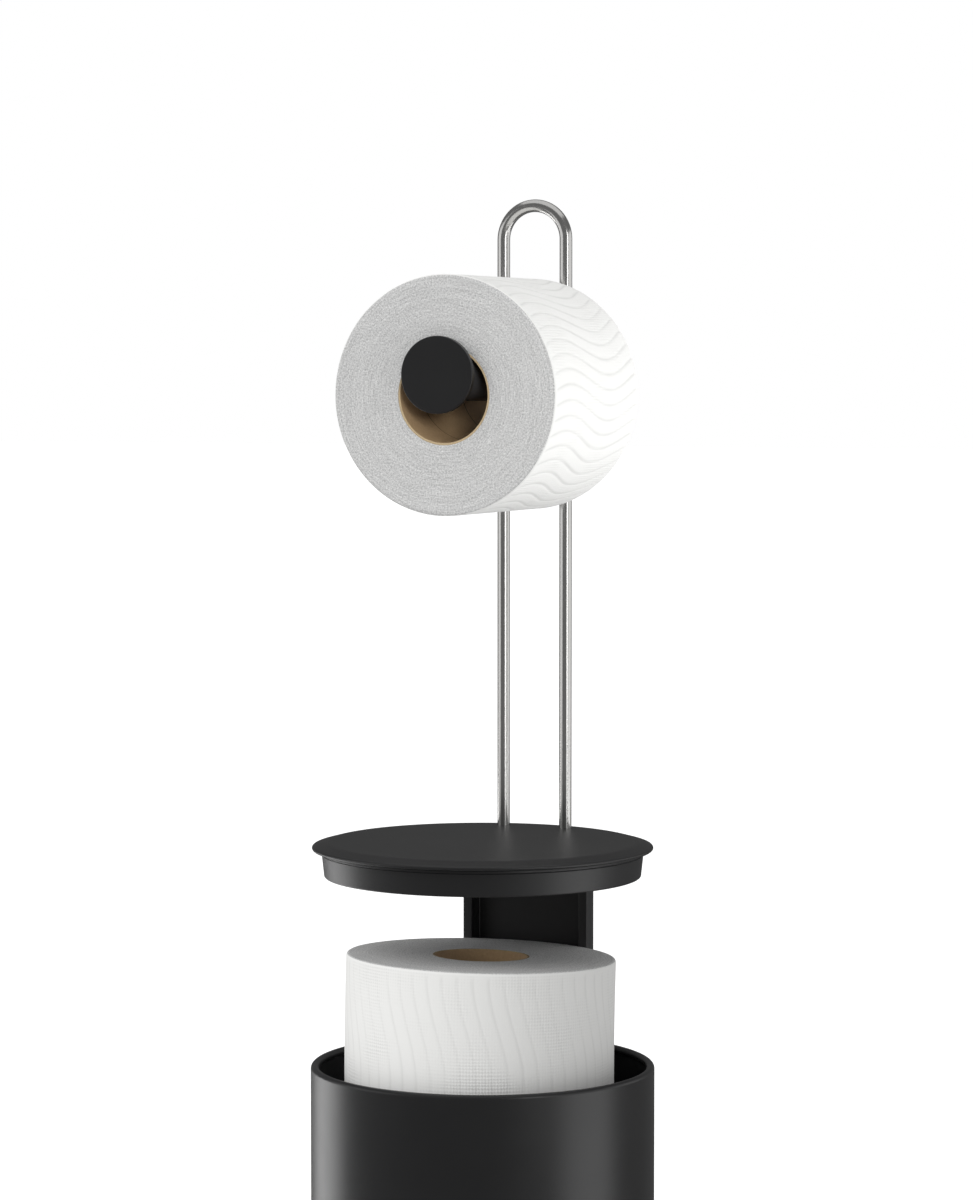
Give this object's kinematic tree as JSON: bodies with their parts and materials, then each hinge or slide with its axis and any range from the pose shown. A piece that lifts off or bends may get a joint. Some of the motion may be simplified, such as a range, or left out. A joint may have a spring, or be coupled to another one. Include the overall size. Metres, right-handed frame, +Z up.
{
  "type": "toilet paper holder",
  "caption": "Free-standing toilet paper holder: a round canister that stores spare rolls on a lift-out caddy, whose wire loop handle carries an arm for the roll in use.",
  "frame": {"origin": "on the floor at the centre of the canister's base", "axes": "+Z up along the canister's axis; the arm points to -Y, which is the front, and the wire loop stands at +Y; +X is to the right seen from the front"},
  "size_m": [0.16, 0.16, 0.7709],
  "materials": {
    "black_steel": "satin",
    "black_plastic": "satin",
    "stainless_wire": "satin",
    "zinc_steel": "satin",
    "rubber": "matte",
    "tissue": "matte",
    "core_board": "matte"
  },
  "bodies": {
    "canister": {"canister_shell": "black_steel", "canister_floor": "black_steel", "base_weight": "zinc_steel", "base_cap": "black_plastic", "base_screws": "zinc_steel", "foot_ring": "rubber"},
    "caddy": {"lid_top": "black_plastic", "lid_collar": "black_plastic", "head_plate": "zinc_steel", "lid_screws": "zinc_steel", "spine": "black_plastic", "tray": "black_plastic", "tray_screws": "zinc_steel", "wire_loop": "stainless_wire", "wire_washers": "zinc_steel", "wire_nuts": "zinc_steel", "cross_plate": "black_steel", "arm_tube": "black_steel", "arm_plug": "zinc_steel", "arm_bolt": "zinc_steel", "arm_disc": "black_steel", "spare_paper_top": "tissue", "spare_core_top": "core_board", "spare_paper_middle": "tissue", "spare_core_middle": "core_board", "spare_paper_bottom": "tissue", "spare_core_bottom": "core_board"},
    "roll": {"roll_paper": "tissue", "roll_core": "core_board"}
  },
  "joints": [
    {"name": "caddy_lift", "type": "slide", "parent": "canister", "child": "caddy", "axis": [0, 0, 1], "range_m": [-0.1, 0.265]},
    {"name": "roll_spin", "type": "hinge", "parent": "caddy", "child": "roll", "pos_m": [0, 0, 0.6787], "axis": [0, 1, 0], "continuous": true}
  ]
}
